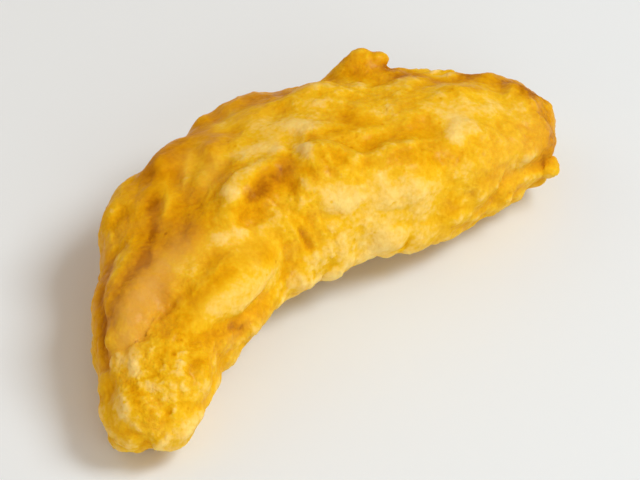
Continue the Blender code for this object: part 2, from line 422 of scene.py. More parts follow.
@dataclass(frozen=True)
class Backbone:
    """The strip's middle line, from its near tip round the bend to its far end."""

    knots: tuple[tuple[float, float, float], ...] = (
        (-34.5, -42.8, 7.8),
        (-33.8, -28.0, 9.6),
        (-29.3, -10.5, 12.3),
        (-20.5, 6.5, 14.3),
        (-6.5, 17.5, 14.8),
        (11.2, 22.5, 13.8),
        (28.7, 28.8, 11.6),
        (43.4, 35.3, 9.0),
    )
    girth: float = 15.0  # mean radius, which turns degrees into millimetres
    samples: int = 240
    steps: int = 60  # between two knots, before the points are spread evenly
    block: int = 4096  # points handled at a time

    def line(self) -> np.ndarray:
        """The middle line as a smooth curve through the knots.

        Returns:
            Points at even distances along it, in millimetres.
        """
        knots = np.array(self.knots)
        ends = np.vstack([2 * knots[0] - knots[1], knots, 2 * knots[-1] - knots[-2]])
        pieces = []
        for before, start, end, after in zip(ends, ends[1:], ends[2:], ends[3:]):
            t = np.linspace(0, 1, self.steps)[:, None]
            squared = 2 * before - 5 * start + 4 * end - after
            cubed = 3 * (start - end) + after - before
            pieces.append((2 * start + (end - before) * t + squared * t**2 + cubed * t**3) / 2)
        rough = np.vstack(pieces)
        steps = np.r_[0, np.cumsum(np.linalg.norm(np.diff(rough, axis=0), axis=1))]
        even = np.linspace(0, steps[-1], self.samples)
        return np.stack([np.interp(even, steps, column) for column in rough.T], axis=1)

    def frames(self) -> tuple[np.ndarray, np.ndarray, np.ndarray, float]:
        """The middle line with its directions.

        Returns:
            The points, the directions into the bend, the directions up and the line's length in millimetres.
        """
        line = self.line()
        ahead = np.gradient(line, axis=0)
        ahead /= np.linalg.norm(ahead, axis=1)[:, None]
        inward = np.cross(ahead, [0.0, 0.0, 1.0])
        inward /= np.linalg.norm(inward, axis=1)[:, None]
        length = float(np.linalg.norm(np.diff(line, axis=0), axis=1).sum())
        return line, inward, np.cross(inward, ahead), length

    def places(self, points: np.ndarray) -> np.ndarray:
        """Where points lie on the strip.

        Args:
            points: positions in millimetres.

        Returns:
            For each point: millimetres along the strip, into its bend and up from its middle.
        """
        line, inward, up, length = self.frames()
        nearest = np.empty(len(points), int)
        for first in range(0, len(points), self.block):
            part = points[first : first + self.block]
            away = np.linalg.norm(part[:, None] - line[None], axis=2)
            nearest[first : first + self.block] = away.argmin(axis=1)
        out = points - line[nearest]
        ahead = np.cross(up[nearest], inward[nearest])
        along = nearest / (self.samples - 1) * length + (out * ahead).sum(axis=1)
        across = (out * inward[nearest]).sum(axis=1)
        over = (out * up[nearest]).sum(axis=1)
        return np.stack([along, across, over], axis=1)

    def axes(self, share: float, around: float) -> tuple[Vector, Matrix]:
        """Directions at a place on the strip.

        Args:
            share: share of the strip's length.
            around: degrees from the top.

        Returns:
            The strip's middle there, in metres, and a matrix whose columns point along it, round it and out.
        """
        line, inward, up, _ = self.frames()
        index = int(round(min(max(share, 0), 1) * (self.samples - 1)))
        turn = math.radians(around)
        out = Vector(inward[index] * math.sin(turn) + up[index] * math.cos(turn))
        along = Vector(np.cross(up[index], inward[index]))
        return Vector(line[index]) * MM, Matrix((along, out.cross(along), out)).transposed()


# --- what is worked into the crust ----------------------------------------------------------------


@dataclass(frozen=True)
class Stroke:
    """One pass over the crust: it lifts or presses, browns or pales, partly as painted shade and light,
    roughens or calms, and dulls it.
    """

    route: tuple[tuple[float, float], ...]  # (share, degrees round) of each of its points
    width: float  # millimetres
    lift: float = 0.0  # millimetres
    # Darker where positive, paler where negative: real browning and paling, with painted shade and painted
    # light among them.
    brown_and_shade: float = 0.0
    rough: float = 0.0
    dull: float = 0.0


@dataclass(frozen=True)
class Nub:
    """A drop of batter that set on the crust: its place, and its half sizes along, round and out."""

    share: float
    around: float
    reach: float  # millimetres from the middle of the strip to the middle of the drop
    along: float
    across: float
    out: float


@dataclass(frozen=True)
class Wrinkling:
    """One scale of the folds that run all over the crust."""

    size: float  # millimetres across a fold
    height: float
    stretch: float = 1.0  # how much longer than wide the folds are, along the strip
    softness: float = 0.12  # how rounded the creases between folds are
    calmed: float = 0.8  # share of it that a calm patch takes away
    seed: float = 0.0
    stray: float = 0.6  # how far the folds bend out of line, in folds
    stray_pace: float = 0.7  # bends for each fold
    stray_seed: tuple[float, float] = (-7.3, 5.1)


@dataclass(frozen=True)
class Blistering:
    """One scale of bubbles under the skin, or of burst ones if the height is negative."""

    spacing: float  # millimetres between neighbours
    height: float
    fullness: float  # the largest radius, as a share of the spacing
    share: float  # how many of the places hold a bubble
    calmed: float = 0.8
    seed: float = 0.0
    smallest: float = 0.6  # radius, as a share of the largest
    stray: float = 0.35  # how far the bubbles are pulled out of round, in spacings
    stray_pace: float = 0.6
    lot: float = 7.7  # scales a bubble's place to draw its lot


# What was pressed, swollen, roughened, calmed or dulled, and browned or paled, partly as painted shade and
# painted light: route, width and work.
STROKES = (
    # The near tip, rough and grainy.
    Stroke(((0.12, 38), (0.09, 34)), 4, lift=0.3, brown_and_shade=-0.38),
    Stroke(((0.12, -36), (0.05, -34)), 7, lift=0.3, brown_and_shade=-0.03),
    Stroke(((0.11, -18), (0.08, -18)), 5, lift=0.6, brown_and_shade=-0.06),
    Stroke(((0.125, -47), (0.10, -46)), 4, lift=0.6),
    Stroke(((0.09, 36), (0.06, -24), (0.02, 20)), 15, brown_and_shade=0.04, rough=0.9),
    Stroke(((0.07, 42), (0.10, 54), (0.12, 63)), 2.0, lift=-0.15, brown_and_shade=0.16),
    Stroke(((-0.02, 60), (-0.02, 120)), 10, lift=1.2),
    # The near arm: a long calm puff on top, a full one on the inner side and a soft furrow between them.
    Stroke(((0.28, 4), (0.21, -8), (0.13, -27)), 9, lift=0.8, brown_and_shade=0.02, rough=-0.8, dull=0.55),
    Stroke(((0.23, -4), (0.18, -12), (0.14, -24)), 8, brown_and_shade=0.12, dull=0.30),
    Stroke(((0.18, 40), (0.25, 54), (0.33, 64)), 8.5, lift=0.8, brown_and_shade=-0.10, rough=-1.1),
    Stroke(((0.14, -4), (0.17, 4), (0.20, 12)), 4, lift=0.6),
    Stroke(((0.22, 2), (0.18, 8), (0.14, 12), (0.11, 16)), 4, lift=-0.2, brown_and_shade=0.16),
    Stroke(((0.32, 52), (0.29, 45), (0.25, 40), (0.20, 29), (0.16, 21)), 6, lift=-0.6, brown_and_shade=0.16),
    Stroke(
        ((0.10, 30), (0.13, 45), (0.155, 60), (0.18, 72), (0.21, 84)),
        4.4,
        lift=-0.8,
        brown_and_shade=0.20,
        rough=0.4,
    ),
    Stroke(((0.22, 96), (0.26, 100)), 8, lift=0.6, rough=0.5),
    Stroke(((0.30, 98), (0.34, 104)), 6, lift=1.0),
    Stroke(((0.17, 80), (0.21, 88), (0.24, 92)), 7, brown_and_shade=0.08, rough=0.5, dull=0.15),
    Stroke(((0.38, -4), (0.33, 0), (0.30, -5)), 5, lift=0.1),
    Stroke(
        ((0.30, 20), (0.315, 36), (0.335, 47), (0.37, 58)),
        5,
        lift=0.5,
        brown_and_shade=-0.20,
        rough=-0.5,
        dull=0.1,
    ),
    Stroke(((0.26, 42), (0.24, 40)), 3.2, lift=-0.2, brown_and_shade=0.22),
    # The outer side of the near arm: a long dark line, and the browned face beyond it.
    Stroke(((0.26, -23), (0.22, -32), (0.18, -36), (0.14, -50)), 5, lift=-0.5, brown_and_shade=0.36),
    Stroke(((0.35, -38), (0.33, -34), (0.29, -28), (0.25, -20)), 3.4, lift=-0.4, brown_and_shade=0.38),
    Stroke(((0.33, -66), (0.24, -60), (0.16, -66), (0.10, -64)), 10, brown_and_shade=0.13, rough=0.2),
    Stroke(((0.36, -27), (0.34, -24)), 2.6, lift=0.5, brown_and_shade=-0.10),
    # The elbow: knobs and short folds on browner, calmer ground, a back edge darkened with painted shade,
    # and a ridge over it.
    Stroke(((0.40, -64), (0.35, -58)), 5, lift=0.5, brown_and_shade=-0.04),
    Stroke(((0.38, -66), (0.43, -62), (0.50, -58)), 10, lift=0.4),
    # Painted shade: the elbow's back edge, darkened as if another piece stood beside it.
    Stroke(((0.64, -60), (0.54, -66), (0.46, -62), (0.42, -56)), 9, brown_and_shade=0.32, rough=-0.3),
    Stroke(((0.48, -40), (0.42, -38), (0.36, -34), (0.32, -24), (0.31, 0)), 16, brown_and_shade=0.14, rough=-0.6),
    Stroke(((0.415, -49), (0.39, -41)), 2.8, lift=0.5, brown_and_shade=-0.16),
    Stroke(((0.44, -38), (0.40, -24)), 2.4, lift=0.4, brown_and_shade=-0.16, dull=0.2),
    Stroke(((0.47, -48), (0.44, -34), (0.43, -25)), 4, lift=0.1, brown_and_shade=-0.22, rough=-0.3),
    # Painted light: paler on a slope that faces away from the lamps.
    Stroke(((0.52, -56), (0.51, -50), (0.505, -44)), 4.4, lift=0.3, brown_and_shade=-0.40, rough=-0.3),
    Stroke(((0.46, -6), (0.49, 8), (0.51, 17)), 5, lift=0.2, brown_and_shade=-0.26, rough=-0.6),
    Stroke(((0.51, -12), (0.53, 2), (0.55, 10)), 5, brown_and_shade=-0.08, rough=-0.5),
    Stroke(((0.43, -10), (0.41, -2)), 6, lift=0.4, brown_and_shade=-0.08, rough=-0.5, dull=0.3),
    Stroke(((0.45, 3), (0.37, 11)), 4, lift=-0.1, brown_and_shade=0.12),
    Stroke(((0.46, 20), (0.42, 21), (0.38, 25), (0.35, 26)), 3.2, lift=0.8, brown_and_shade=-0.18, rough=-0.5),
    Stroke(((0.36, 24), (0.37, 32)), 3.4, lift=-0.2, brown_and_shade=0.22),
    Stroke(((0.53, -14), (0.52, 6), (0.52, 16)), 9, lift=0.2, brown_and_shade=-0.11, rough=-0.2),
    # Inside the bend: a deep valley below the ridge, and pale folds down to the foot.
    Stroke(((0.38, 66), (0.37, 83), (0.34, 98)), 3.0, lift=-0.3, brown_and_shade=0.02),
    Stroke(((0.52, 38), (0.50, 37), (0.48, 36), (0.455, 35)), 5.0, brown_and_shade=0.34, rough=-0.4),
    Stroke(((0.55, 27), (0.53, 35), (0.51, 42)), 3.2, lift=0.4, brown_and_shade=-0.34),
    Stroke(((0.51, 28), (0.495, 34)), 3.4, lift=-0.3, brown_and_shade=0.26),
    Stroke(((0.47, 36), (0.44, 37), (0.40, 37)), 4.6, lift=-0.3, brown_and_shade=0.36, rough=-0.3),
    Stroke(((0.43, 34), (0.405, 34)), 3.4, lift=-0.3, brown_and_shade=0.32),
    Stroke(((0.465, 46), (0.425, 52), (0.40, 57)), 3.6, lift=0.3, brown_and_shade=-0.10),
    Stroke(((0.485, 54), (0.445, 64)), 2.2, lift=0.4, brown_and_shade=0.02),
    Stroke(((0.44, 69), (0.45, 77)), 3.4, lift=-0.6, brown_and_shade=0.12),
    Stroke(((0.50, 76), (0.57, 87)), 7, lift=0.3, brown_and_shade=-0.14),
    Stroke(((0.39, 100), (0.44, 104), (0.50, 104), (0.55, 101)), 8, lift=2.0),
    # The full front of the far arm, with fine amber wrinkles above it.
    Stroke(((0.55, 58), (0.60, 63), (0.64, 66)), 7, lift=0.4, brown_and_shade=-0.22, rough=-0.5),
    Stroke(((0.67, 56), (0.71, 59), (0.74, 62)), 6, lift=0.4, brown_and_shade=-0.10, rough=-0.4),
    Stroke(((0.67, 78), (0.73, 84)), 6, lift=0.3, brown_and_shade=-0.14, rough=-0.4),
    # Painted light: the lower rim paled, as by light thrown up from the floor.
    Stroke(((0.42, 98), (0.50, 104), (0.60, 102), (0.70, 100)), 7, lift=0.6, brown_and_shade=-0.10),
    Stroke(((0.69, 102), (0.735, 104)), 6, lift=1.6),
    Stroke(((0.55, 41), (0.61, 40), (0.67, 36)), 2.8, lift=-0.2, brown_and_shade=0.12),
    Stroke(((0.67, 36), (0.72, 29), (0.77, 31)), 2.8, lift=-0.1, brown_and_shade=0.10),
    Stroke(((0.775, 30), (0.77, 46), (0.775, 60)), 4.4, lift=0.6),
    Stroke(((0.66, 46), (0.72, 43), (0.77, 42)), 2.6, lift=-0.3, brown_and_shade=0.10),
    Stroke(((0.60, 30), (0.68, 27), (0.74, 36)), 9, brown_and_shade=0.06, rough=0.2),
    Stroke(((0.86, 66), (0.90, 66), (0.93, 50)), 11, brown_and_shade=0.06, rough=0.3, dull=0.3),
    Stroke(((0.75, 72), (0.79, 76)), 7, lift=0.4, brown_and_shade=-0.12),
    Stroke(((0.915, 27), (0.92, 42)), 4, lift=0.3, brown_and_shade=-0.10),
    Stroke(((0.82, 82), (0.88, 87), (0.96, 90)), 4, lift=1.2),
    # The top and the back edge of the far arm.
    Stroke(((0.53, -60), (0.58, -57), (0.65, -56)), 7, lift=-0.7),
    # Painted light: paler on a slope that faces away from the lamps.
    Stroke(((0.55, -24), (0.565, -5), (0.58, 5)), 4.5, brown_and_shade=-0.18, rough=-0.3),
    Stroke(((0.57, 3), (0.56, 22)), 2.2, lift=-0.1, brown_and_shade=0.02),
    # Painted light: paler on a slope that faces away from the lamps.
    Stroke(((0.58, 4), (0.565, 12), (0.55, 20)), 5, lift=-0.4, brown_and_shade=-0.16),
    Stroke(((0.58, 10), (0.59, 18)), 6, lift=0.3, brown_and_shade=-0.06),
    Stroke(((0.58, 20), (0.62, 20), (0.68, 16), (0.71, 14)), 2.6, lift=-0.3, brown_and_shade=0.12),
    Stroke(((0.58, -20), (0.62, -4)), 8, brown_and_shade=-0.06, rough=0.1),
    Stroke(((0.655, -6), (0.65, 8)), 2.8, lift=-0.35, brown_and_shade=0.16),
    Stroke(((0.79, 28), (0.83, 24), (0.87, 18)), 9, lift=0.4, brown_and_shade=-0.24, rough=-0.7),
    # Painted light: paler on a slope that faces away from the lamps.
    Stroke(((0.65, -40), (0.70, -38), (0.74, -30)), 7, lift=0.3, brown_and_shade=-0.06),
    Stroke(((0.79, -64), (0.87, -55)), 6, lift=-0.5, rough=0.2),
    Stroke(((0.74, -84), (0.79, -86), (0.84, -84), (0.89, -78)), 8, lift=1.2, brown_and_shade=0.10, rough=0.5),
    Stroke(((0.71, 2), (0.71, 14)), 5, lift=0.2, brown_and_shade=-0.24),
    Stroke(((0.65, 6), (0.72, 22), (0.76, 23)), 4, brown_and_shade=0.11, rough=-0.3),
    Stroke(((0.60, -2), (0.66, 26), (0.74, 34)), 14, rough=-0.35),
    # The blunt far end, browner and darkened with painted shade.
    Stroke(((0.95, -8), (0.955, 6)), 5, brown_and_shade=0.40, rough=0.4),
    Stroke(((0.96, -30), (0.95, 20)), 8, lift=0.9, rough=0.3),
    # Painted shade: the end's face darkened as if another piece shaded it.
    Stroke(((0.98, 100), (0.985, 60), (0.99, 0), (0.985, -70)), 10, brown_and_shade=0.42, rough=0.5),
)

# What only browned or paled, partly as painted shade and painted light: width, how much browner, and route,
# in the same order along the strip.
BROWNINGS_AND_SHADES = (
    # The near tip.
    (4, -0.32, ((0.075, -20), (0.08, -19))),
    # Painted light: paler on the tip's left flank, which faces away from the lamps.
    (5, -0.10, ((0.03, -42), (0.0, -50))),
    (3, -0.30, ((-0.025, -10), (-0.025, 6))),
    (2.6, 0.14, ((0.005, -2), (0.005, 8))),
    (5, 0.10, ((-0.01, -50), (0.0, 0), (0.0, 30))),
    (4.5, -0.24, ((0.045, 0), (0.035, 4))),
    (3, 0.14, ((0.025, -22), (0.02, -2))),
    (3, -0.10, ((0.07, -22), (0.04, 0))),
    (3.6, -0.14, ((0.01, -50), (-0.01, -30))),
    (4, 0.10, ((0.085, 62), (0.08, 66))),
    (4, 0.20, ((0.05, -22), (0.03, -22))),
    (4, 0.26, ((0.095, 50), (0.08, 64))),
    (4, -0.05, ((0.09, -38), (0.09, -18))),
    (4, 0.14, ((-0.01, -72), (-0.01, -46))),
    # The near arm.
    (4, -0.10, ((0.27, 12), (0.25, 15))),
    (4, 0.24, ((0.29, -13), (0.29, 2), (0.30, 15))),
    (4, 0.17, ((0.23, -13), (0.21, -6), (0.20, 6))),
    (4, 0.16, ((0.14, 26), (0.15, 28))),
    (4, 0.14, ((0.20, 78), (0.22, 86))),
    (4, 0.12, ((0.31, 53), (0.33, 61))),
    (4, 0.14, ((0.16, -16), (0.16, -5))),
    (4, -0.14, ((0.25, 24), (0.23, 28))),
    (4, 0.14, ((0.20, 30), (0.165, 36))),
    (5, 0.12, ((0.14, 60), (0.17, 72), (0.205, 82), (0.24, 88))),
    (6, -0.10, ((0.22, 66), (0.27, 78), (0.31, 86))),
    (5, -0.12, ((0.31, 78), (0.35, 92))),
    (5, 0.26, ((0.27, 94), (0.30, 96))),
    (4, 0.14, ((0.35, -16), (0.29, -12))),
    (4, 0.10, ((0.35, -14), (0.35, 2))),
    (3.6, 0.12, ((0.325, 10), (0.345, 14))),
    (4, 0.14, ((0.32, -22), (0.32, -5), (0.31, 14))),
    (4, -0.14, ((0.31, 34), (0.29, 44), (0.33, 44))),
    (4, -0.06, ((0.27, 8), (0.27, 20))),
    (2.6, 0.14, ((0.29, 38), (0.29, 40))),
    (3, 0.12, ((0.31, 60), (0.345, 64))),
    (3, 0.14, ((0.195, 31), (0.20, 33))),
    (3, 0.10, ((0.14, 26), (0.145, 28))),
    (3.4, 0.10, ((0.22, 36), (0.225, 38))),
    (6, 0.18, ((0.32, 4), (0.295, 9))),
    # The outer side of the near arm.
    (4, 0.13, ((0.15, -58), (0.20, -56), (0.18, -31), (0.205, -16), (0.21, 2))),
    (4, 0.19, ((0.31, -44), (0.28, -34), (0.22, -22), (0.15, -16))),
    (4, -0.16, ((0.24, -46), (0.29, -59))),
    (4.5, 0.06, ((0.32, -60), (0.29, -50))),
    (6, 0.28, ((0.25, -66), (0.19, -58), (0.12, -58))),
    # The elbow.
    (3.5, 0.12, ((0.405, -54), (0.415, -42))),
    (7, 0.10, ((0.48, -46), (0.44, -50), (0.40, -56))),
    (4, 0.14, ((0.42, 8), (0.40, 14))),
    (4, 0.12, ((0.47, -52), (0.48, -38), (0.455, -18))),
    (4, 0.10, ((0.48, -36), (0.45, -18))),
    (4, 0.18, ((0.43, -40), (0.42, -46), (0.40, -51))),
    (4, 0.14, ((0.36, -42), (0.36, -38))),
    (3.6, 0.16, ((0.375, -6), (0.38, -2), (0.35, 3))),
    (4, 0.16, ((0.40, -11), (0.38, -6))),
    (3.6, 0.13, ((0.42, 22), (0.45, 13))),
    (3, 0.12, ((0.52, 24), (0.51, 26))),
    (3.5, 0.14, ((0.455, -20), (0.445, -14))),
    (4, -0.14, ((0.385, 6), (0.38, 12))),
    # Inside the bend.
    (3.4, -0.14, ((0.37, 86), (0.37, 88))),
    (3.4, 0.16, ((0.395, 90), (0.40, 91))),
    (3, 0.12, ((0.37, 33), (0.35, 30))),
    (3, -0.10, ((0.44, 30), (0.46, 36))),
    (3, 0.12, ((0.52, 38), (0.53, 39))),
    (4, 0.12, ((0.48, 52), (0.485, 50))),
    (4, 0.12, ((0.44, 43), (0.445, 41))),
    (3.4, -0.14, ((0.39, 42), (0.41, 48), (0.46, 48))),
    (3, 0.14, ((0.49, 44), (0.515, 40))),
    (5, 0.12, ((0.33, 60), (0.38, 74), (0.43, 74), (0.42, 60))),
    (4, 0.14, ((0.44, 64), (0.50, 72))),
    (4, 0.10, ((0.355, 60), (0.37, 64))),
    (5, -0.10, ((0.36, 72), (0.42, 84), (0.46, 96))),
    # The full front of the far arm.
    (4, -0.10, ((0.92, 52), (0.91, 74))),
    (4, -0.14, ((0.65, 38), (0.67, 40))),
    (4, 0.11, ((0.57, 77), (0.63, 78))),
    (3.6, 0.13, ((0.53, 48), (0.57, 51), (0.66, 55))),
    (3.4, 0.12, ((0.69, 42), (0.73, 54))),
    (4, 0.20, ((0.69, 50), (0.74, 54))),
    (4, 0.14, ((0.57, 44), (0.61, 46), (0.64, 47))),
    (12, 0.08, ((0.80, 50), (0.84, 60))),
    (4, 0.10, ((0.79, 69), (0.84, 72))),
    (9, -0.10, ((0.54, 58), (0.62, 67), (0.72, 74))),
    (6, -0.12, ((0.57, 68), (0.60, 69))),
    (5, -0.12, ((0.66, 57), (0.70, 59))),
    (6, 0.06, ((0.75, 88), (0.80, 92))),
    (4, 0.22, ((0.84, 88), (0.89, 94))),
    (4, 0.16, ((0.765, 84), (0.77, 84))),
    (3.4, 0.12, ((0.77, 49), (0.775, 51))),
    (3.4, -0.16, ((0.755, 45), (0.735, 45))),
    (4, -0.12, ((0.79, 66), (0.79, 78))),
    (4, -0.12, ((0.91, 74), (0.91, 78))),
    (3.4, 0.08, ((0.77, 66), (0.77, 84))),
    (4, -0.24, ((0.62, 88), (0.67, 90))),
    (4, -0.14, ((0.62, 97), (0.65, 99))),
    (3.4, 0.16, ((0.68, 92), (0.71, 103))),
    (3.4, 0.06, ((0.67, 81), (0.70, 84))),
    (4, -0.24, ((0.76, 32), (0.765, 40))),
    (4, -0.10, ((0.64, 38), (0.68, 40))),
    (4, 0.14, ((0.74, 46), (0.76, 48))),
    # The top and the back edge of the far arm.
    (4.6, -0.16, ((0.79, 8), (0.81, 30), (0.79, 40))),
    (3.4, -0.12, ((0.80, -12), (0.80, -4))),
    (3.4, -0.12, ((0.91, -8), (0.915, -4))),
    (4, -0.14, ((0.62, -14), (0.60, -22))),
    (4, 0.14, ((0.565, -36), (0.58, -30))),
    (3.2, 0.20, ((0.59, 22), (0.565, 33))),
    (6, 0.10, ((0.82, -10), (0.86, -6))),
    (6, 0.42, ((0.71, -64), (0.77, -60))),
    (4, 0.36, ((0.87, -38), (0.90, -38))),
    (4, -0.18, ((0.65, -68), (0.68, -60))),
    (3.4, 0.06, ((0.71, -57), (0.745, -55))),
    # Painted shade under the lip of batter.
    (4, 0.56, ((0.775, -47), (0.81, -48))),
    (3, -0.14, ((0.76, -51), (0.77, -50))),
    (3, -0.12, ((0.72, -56), (0.74, -53))),
    (3.4, -0.32, ((0.84, -46), (0.85, -38))),
    (4.4, -0.46, ((0.82, -52), (0.84, -48), (0.86, -41))),
    # Painted shadow along the back edge, as if cast by another piece beside it.
    (4, 0.16, ((0.57, -62), (0.62, -44))),
    (8, 0.46, ((0.84, -40), (0.90, -34), (0.94, -22), (0.96, 0))),
    (3.6, 0.18, ((0.75, 23), (0.775, 26), (0.765, 36))),
    (3.6, -0.12, ((0.71, 16), (0.73, 20))),
    (4, 0.20, ((0.82, -2), (0.87, -1))),
    (3.5, -0.10, ((0.70, 10), (0.70, 15))),
    # The far end, browner and darkened in part with painted shade.
    (5, 0.20, ((0.92, 46), (0.92, 62), (0.94, 80))),
    (5, 0.28, ((0.95, 10), (0.96, 60))),
    (6, -0.12, ((0.91, 20), (0.935, 36), (0.94, 52))),
    (4, 0.20, ((0.96, 56), (0.96, 80))),
)


# Small places darker or paler than what lies round them: share, degrees round, how much browner.
SPOT_WIDTH = 3.6
SPOT_RUN = (0.005, 1.0)  # from one end of a spot to the other, in share and degrees
SPOTS = (
    (0.59, 22, -0.20),
    (0.49, 41, -0.20),
    (0.31, 53, -0.14),
    (0.09, 46, -0.20),
    (0.03, 23, -0.13),
    (0.09, -36, -0.20),
    (0.01, -46, -0.15),
    (0.66, 101, -0.13),
    (0.88, 69, -0.14),
    (0.49, 3, -0.12),
    (0.73, 21, 0.12),
    (0.90, 61, 0.12),
    (0.29, 46, 0.13),
    (0.76, 37, 0.10),
    (0.44, 42, 0.08),
)


def brownings_and_shades() -> Iterable[Stroke]:
    """The strokes that only brown or pale, partly as painted shade and painted light.

    Returns:
        The strokes, one by one.
    """
    for width, brown_and_shade, route in BROWNINGS_AND_SHADES:
        yield Stroke(route, width, brown_and_shade=brown_and_shade)
    ahead, aside = SPOT_RUN
    for share, around, brown_and_shade in SPOTS:
        yield Stroke(((share, around), (share + ahead, around + aside)), SPOT_WIDTH, brown_and_shade=brown_and_shade)


@dataclass(frozen=True)
class OuterSide:
    """Short strokes scattered over the strip's outer side: folds, dents darkened with painted shade, and
    patches that browned.
    """

    count: int = 70
    seed: int = 5
    shares: tuple[float, float] = (0.0, 0.97)
    degrees: tuple[float, float] = (-155, -98)
    longest: float = 0.07  # share of the strip's length
    sway: float = 16  # degrees
    lift: float = 0.8  # at most, in or out
    brown_and_shade: float = 0.08  # of a stroke that neither lifts nor presses
    shade_in_dents: float = 0.15  # painted shade: this much darker for each millimetre pressed
    uneven: float = 0.06
    widths: tuple[float, float] = (2.5, 6.5)
    rough: tuple[float, float] = (0.1, 0.7)

    def strokes(self) -> Iterable[Stroke]:
        """Scatters the strokes, the same ones each time.

        Returns:
            The strokes, one by one.
        """
        chance = random.Random(self.seed)
        for _ in range(self.count):
            share = chance.uniform(*self.shares)
            around = chance.uniform(*self.degrees)
            ahead = chance.uniform(0.0, self.longest)
            aside = chance.uniform(-self.sway, self.sway)
            route = ((share, around), (share + ahead, around + aside))
            lift = chance.uniform(-self.lift, self.lift)
            # Pressed strokes come out darker: painted shade in the dents.
            brown_and_shade = self.brown_and_shade - self.shade_in_dents * lift + chance.uniform(-self.uneven, self.uneven)
            yield Stroke(route, chance.uniform(*self.widths), lift, brown_and_shade, chance.uniform(*self.rough))


WRINKLES = (
    Wrinkling(size=9.0, height=0.55, stretch=1.3, softness=0.25, seed=3.0),
    Wrinkling(size=4.6, height=0.28, stretch=1.1, softness=0.20, seed=23.0),
    Wrinkling(size=2.3, height=0.13, stretch=1.0, softness=0.16, seed=11.0),
)

BLISTERS = (
    Blistering(spacing=4.4, height=0.28, fullness=0.50, share=0.38, seed=2.0),
    Blistering(spacing=2.1, height=0.16, fullness=0.55, share=0.55, seed=7.0),
    Blistering(spacing=1.2, height=0.10, fullness=0.60, share=0.70, seed=15.0),
    Blistering(spacing=3.0, height=-0.22, fullness=0.20, share=0.20, seed=31.0),
)

NUBS = (
    # The steep side of the tag that set as the strip was lifted from the oil.
    Nub(0.757, -59, reach=20.4, along=2.4, across=1.6, out=1.8),
    # A thin lip of batter along the back edge, of drops that are high and narrow or low and broad by turns.
    *(
        Nub(
            share=0.790 + 0.017 * k,
            around=-62 + 2 * k,
            reach=17.2 - 0.75 * k,
            along=2.8,
            across=1.3 + 0.3 * (k % 2),
            out=1.6 - 0.3 * (k % 2),
        )
        for k in range(5)
    ),
    # A bead at the far end's foot.
    Nub(0.96, 90, reach=11.6, along=1.7, across=1.7, out=1.6),
)


class Skin:
    """A mesh's points as arrays in millimetres, with the moves of a sculptor."""

    def __init__(self, mesh: bpy.types.Mesh) -> None:
        """Reads the points and edges of a mesh.

        Args:
            mesh: the mesh, which write() puts the points back into.
        """
        self.mesh = mesh
        self.points = self._read(mesh.vertices, "co", 3, np.float32).astype(float) / MM
        self.edges = self._read(mesh.edges, "vertices", 2, np.int32)
        self.degree = np.bincount(self.edges.ravel(), minlength=len(self.points)).clip(1)

    @staticmethod
    def _read(items: Any, name: str, width: int, kind: type) -> np.ndarray:
        """Reads one property of all the items of a mesh.

        Args:
            items: the mesh's vertices, edges or normals.
            name: the property.
            width: numbers in each.
            kind: the numbers' type.

        Returns:
            One row for each item.
        """
        flat = np.empty(len(items) * width, kind)
        items.foreach_get(name, flat)
        return flat.reshape(-1, width)

    def normals(self) -> np.ndarray:
        """The directions out of the skin, at each point."""
        self.write()
        return self._read(self.mesh.vertex_normals, "vector", 3, np.float32).astype(float)

    def write(self) -> None:
        """Puts the points back into the mesh."""
        self.mesh.vertices.foreach_set("co", (self.points * MM).astype(np.float32).ravel())
        self.mesh.update()

    def eased(self, values: np.ndarray, times: int) -> np.ndarray:
        """Values averaged with their neighbours'.

        Args:
            values: one number or row for each point.
            times: passes.

        Returns:
            The averaged values.
        """
        columns = values.reshape(len(values), -1).astype(float)
        a, b = self.edges.T
        count = len(values)
        for _ in range(times):
            total = np.empty_like(columns)
            for k in range(columns.shape[1]):
                total[:, k] = np.bincount(a, columns[b, k], count) + np.bincount(b, columns[a, k], count)
            columns = 0.5 * columns + 0.5 * total / self.degree[:, None]
        return columns.reshape(values.shape)

    def push(self, lift: np.ndarray) -> None:
        """Moves each point out along its normal by so many millimetres."""
        self.points += self.normals() * lift[:, None]

    def hollows(self, times: int) -> np.ndarray:
        """How deep each point lies under the skin smoothed by so many passes, in millimetres."""
        gap = self.eased(self.points, times) - self.points
        return (gap * self.normals()).sum(axis=1)

    def store(self, name: str, values: np.ndarray) -> None:
        """Keeps one number at each point of the mesh, as the attribute of that name."""
        attribute = self.mesh.attributes.new(name, "FLOAT", "POINT")
        attribute.data.foreach_set("value", values.astype(np.float32))


